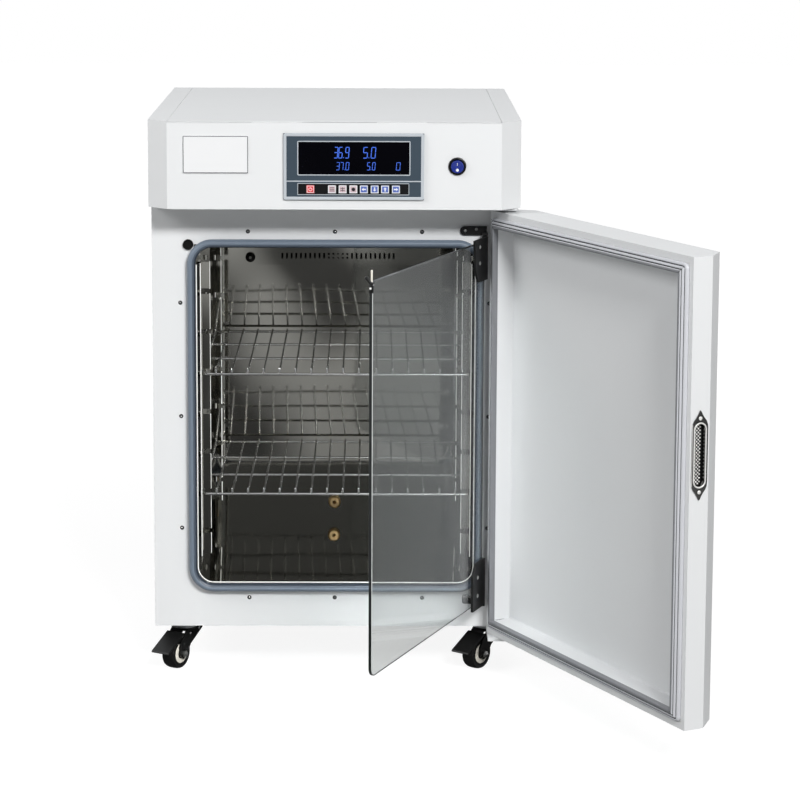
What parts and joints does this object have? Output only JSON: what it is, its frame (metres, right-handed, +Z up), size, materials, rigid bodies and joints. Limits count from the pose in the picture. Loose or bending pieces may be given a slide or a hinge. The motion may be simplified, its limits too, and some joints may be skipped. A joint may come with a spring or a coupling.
{
  "type": "carbon dioxide incubator",
  "caption": "Free-standing laboratory incubator on casters, with an open insulated outer door, a smoked inner glass door, a steel chamber with wire shelves and a control hood.",
  "frame": {"origin": "centre of the bounding box on the floor plane, with both doors open as in the picture", "axes": "+Z up, +X to the cabinet's right as seen from in front, +Y from the front to the back"},
  "size_m": [0.763, 1.0082, 0.8117],
  "materials": {
    "white_paint": "smooth satin white powder coat",
    "liner_paint": "satin light grey-white paint",
    "polished_steel": "mirror-polished stainless steel",
    "galvanised_steel": "dull zinc-plated sheet",
    "glass_wool": "pressed glass-wool board",
    "seal_rubber": "blue-grey silicone with a soft sheen",
    "gasket_rubber": "grey magnetic gasket",
    "black_steel": "black powder coat",
    "black_plastic": "moulded black plastic",
    "smoked_glass": "tempered grey-tinted glass",
    "brass": "turned brass",
    "slate_panel": "slate-blue film panel with a light grey border",
    "display_glass": "black display window with blue digits",
    "red_key": "red key cap",
    "pink_key": "pale pink key cap with dark marks",
    "blue_key": "blue key cap with a white arrow",
    "blue_rocker": "blue rocker",
    "white_label": "bare white plate with a thin dark border",
    "circuit_green": "green circuit board",
    "wheel_rubber": "black rubber tread on a cream-ringed hub"
  },
  "bodies": {
    "cabinet": {"back_panel": "white_paint", "base_pan": "galvanised_steel", "cabinet_shell": "white_paint", "cable_gland": "black_plastic", "catch_socket": "black_plastic", "chamber_insulation": "glass_wool", "chamber_liner": "polished_steel", "chamber_seal": "seal_rubber", "control_board": "circuit_green", "display_window": "display_glass", "door_hinge_bottom": "white_paint", "door_hinge_top": "white_paint", "duct_cover": "polished_steel", "fan_motor": "galvanised_steel", "front_frame": "white_paint", "gas_fitting": "brass", "glass_bracket_bottom": "black_steel", "glass_bracket_top": "black_steel", "heating_element": "galvanised_steel", "hood_deck": "galvanised_steel", "hood_lid": "white_paint", "hood_shell": "white_paint", "nameplate": "white_label", "panel_bezel": "slate_panel", "rack_post_front_left": "polished_steel", "rack_post_front_right": "polished_steel", "rack_post_rear_left": "polished_steel", "rack_post_rear_right": "polished_steel", "switch_bezel": "black_plastic"},
    "outer_door": {"door_shell": "white_paint", "door_liner": "liner_paint", "door_insulation": "glass_wool", "door_gasket": "gasket_rubber", "handle_plate": "polished_steel"},
    "glass_door": {"glass_pane": "smoked_glass", "glass_clamp_top": "black_steel", "glass_clamp_bottom": "black_steel", "glass_catch": "black_steel"},
    "rocker": {"switch_rocker": "blue_rocker"},
    "impeller": {"fan_impeller": "galvanised_steel"},
    "upper_rack": {"upper_shelf": "polished_steel"},
    "lower_rack": {"lower_shelf": "polished_steel"},
    "key_power_cap": {"key_power": "red_key"},
    "key_menu_cap": {"key_menu": "pink_key"},
    "key_mode_cap": {"key_mode": "pink_key"},
    "key_set_cap": {"key_set": "pink_key"},
    "key_left_cap": {"key_left": "blue_key"},
    "key_down_cap": {"key_down": "blue_key"},
    "key_up_cap": {"key_up": "blue_key"},
    "key_right_cap": {"key_right": "blue_key"},
    "fork_front_left": {"caster_fork_front_left": "black_steel"},
    "wheel_front_left": {"caster_wheel_front_left": "wheel_rubber"},
    "fork_front_right": {"caster_fork_front_right": "black_steel"},
    "wheel_front_right": {"caster_wheel_front_right": "wheel_rubber"},
    "fork_rear_left": {"caster_fork_rear_left": "black_steel"},
    "wheel_rear_left": {"caster_wheel_rear_left": "wheel_rubber"},
    "fork_rear_right": {"caster_fork_rear_right": "black_steel"},
    "wheel_rear_right": {"caster_wheel_rear_right": "wheel_rubber"},
    "pedal_front_left": {"brake_pedal_front_left": "black_steel"},
    "pedal_front_right": {"brake_pedal_front_right": "black_steel"}
  },
  "joints": [
    {"name": "door_swing", "type": "hinge", "parent": "cabinet", "child": "outer_door", "pos_m": [0.1283, -0.04563, 0.37], "axis": [0, 0, 1], "range_deg": [-116.8, 18]},
    {"name": "glass_swing", "type": "hinge", "parent": "cabinet", "child": "glass_door", "pos_m": [0.0988, -0.03873, 0.37], "axis": [0, 0, 1], "range_deg": [-67.7, 10.5]},
    {"name": "key_power_press", "type": "slide", "parent": "cabinet", "child": "key_power_cap", "axis": [0, 1, 0], "range_m": [0, 0.0008], "stiffness_N_per_m": 300},
    {"name": "key_menu_press", "type": "slide", "parent": "cabinet", "child": "key_menu_cap", "axis": [0, 1, 0], "range_m": [0, 0.0008], "stiffness_N_per_m": 300},
    {"name": "key_mode_press", "type": "slide", "parent": "cabinet", "child": "key_mode_cap", "axis": [0, 1, 0], "range_m": [0, 0.0008], "stiffness_N_per_m": 300},
    {"name": "key_set_press", "type": "slide", "parent": "cabinet", "child": "key_set_cap", "axis": [0, 1, 0], "range_m": [0, 0.0008], "stiffness_N_per_m": 300},
    {"name": "key_left_press", "type": "slide", "parent": "cabinet", "child": "key_left_cap", "axis": [0, 1, 0], "range_m": [0, 0.0008], "stiffness_N_per_m": 300},
    {"name": "key_down_press", "type": "slide", "parent": "cabinet", "child": "key_down_cap", "axis": [0, 1, 0], "range_m": [0, 0.0008], "stiffness_N_per_m": 300},
    {"name": "key_up_press", "type": "slide", "parent": "cabinet", "child": "key_up_cap", "axis": [0, 1, 0], "range_m": [0, 0.0008], "stiffness_N_per_m": 300},
    {"name": "key_right_press", "type": "slide", "parent": "cabinet", "child": "key_right_cap", "axis": [0, 1, 0], "range_m": [0, 0.0008], "stiffness_N_per_m": 300},
    {"name": "rocker_tilt", "type": "hinge", "parent": "cabinet", "child": "rocker", "pos_m": [0.057, -0.08693, 0.7498], "axis": [1, 0, 0], "range_deg": [-12, 0]},
    {"name": "fan_spin", "type": "hinge", "parent": "cabinet", "child": "impeller", "pos_m": [-0.1147, 0.36407, 0.589], "axis": [0, 1, 0], "continuous": true},
    {"name": "upper_shelf_slide", "type": "slide", "parent": "cabinet", "child": "upper_rack", "axis": [0, -1, 0], "range_m": [0, 0.03]},
    {"name": "lower_shelf_slide", "type": "slide", "parent": "cabinet", "child": "lower_rack", "axis": [0, -1, 0], "range_m": [0, 0.03]},
    {"name": "swivel_front_left", "type": "hinge", "parent": "cabinet", "child": "fork_front_left", "pos_m": [-0.3362, 0.01907, 0.06], "axis": [0, 0, 1], "continuous": true},
    {"name": "roll_front_left", "type": "hinge", "parent": "fork_front_left", "child": "wheel_front_left", "pos_m": [-0.34753, 0.00022, 0.023], "axis": [0.8572, -0.515, 0], "continuous": true},
    {"name": "brake_front_left", "type": "hinge", "parent": "fork_front_left", "child": "pedal_front_left", "pos_m": [-0.34495, 0.0045, 0.0488], "axis": [0.8572, -0.515, 0], "range_deg": [0, 4]},
    {"name": "swivel_front_right", "type": "hinge", "parent": "cabinet", "child": "fork_front_right", "pos_m": [0.1068, 0.01907, 0.06], "axis": [0, 0, 1], "continuous": true},
    {"name": "roll_front_right", "type": "hinge", "parent": "fork_front_right", "child": "wheel_front_right", "pos_m": [0.09296, 0.00198, 0.023], "axis": [0.7771, -0.6293, 0], "continuous": true},
    {"name": "brake_front_right", "type": "hinge", "parent": "fork_front_right", "child": "pedal_front_right", "pos_m": [0.0961, 0.00586, 0.0488], "axis": [0.7771, -0.6293, 0], "range_deg": [0, 4]},
    {"name": "swivel_rear_left", "type": "hinge", "parent": "cabinet", "child": "fork_rear_left", "pos_m": [-0.3362, 0.44407, 0.06], "axis": [0, 0, 1], "continuous": true},
    {"name": "roll_rear_left", "type": "hinge", "parent": "fork_rear_left", "child": "wheel_rear_left", "pos_m": [-0.32867, 0.46475, 0.023], "axis": [-0.9397, 0.342, 0], "continuous": true},
    {"name": "swivel_rear_right", "type": "hinge", "parent": "cabinet", "child": "fork_rear_right", "pos_m": [0.1068, 0.44407, 0.06], "axis": [0, 0, 1], "continuous": true},
    {"name": "roll_rear_right", "type": "hinge", "parent": "fork_rear_right", "child": "wheel_rear_right", "pos_m": [0.09928, 0.46475, 0.023], "axis": [-0.9397, -0.342, 0], "continuous": true}
  ],
  "couplings": [
    {"joint": "glass_swing", "follows": "door_swing", "ratio": 0.57945}
  ]
}
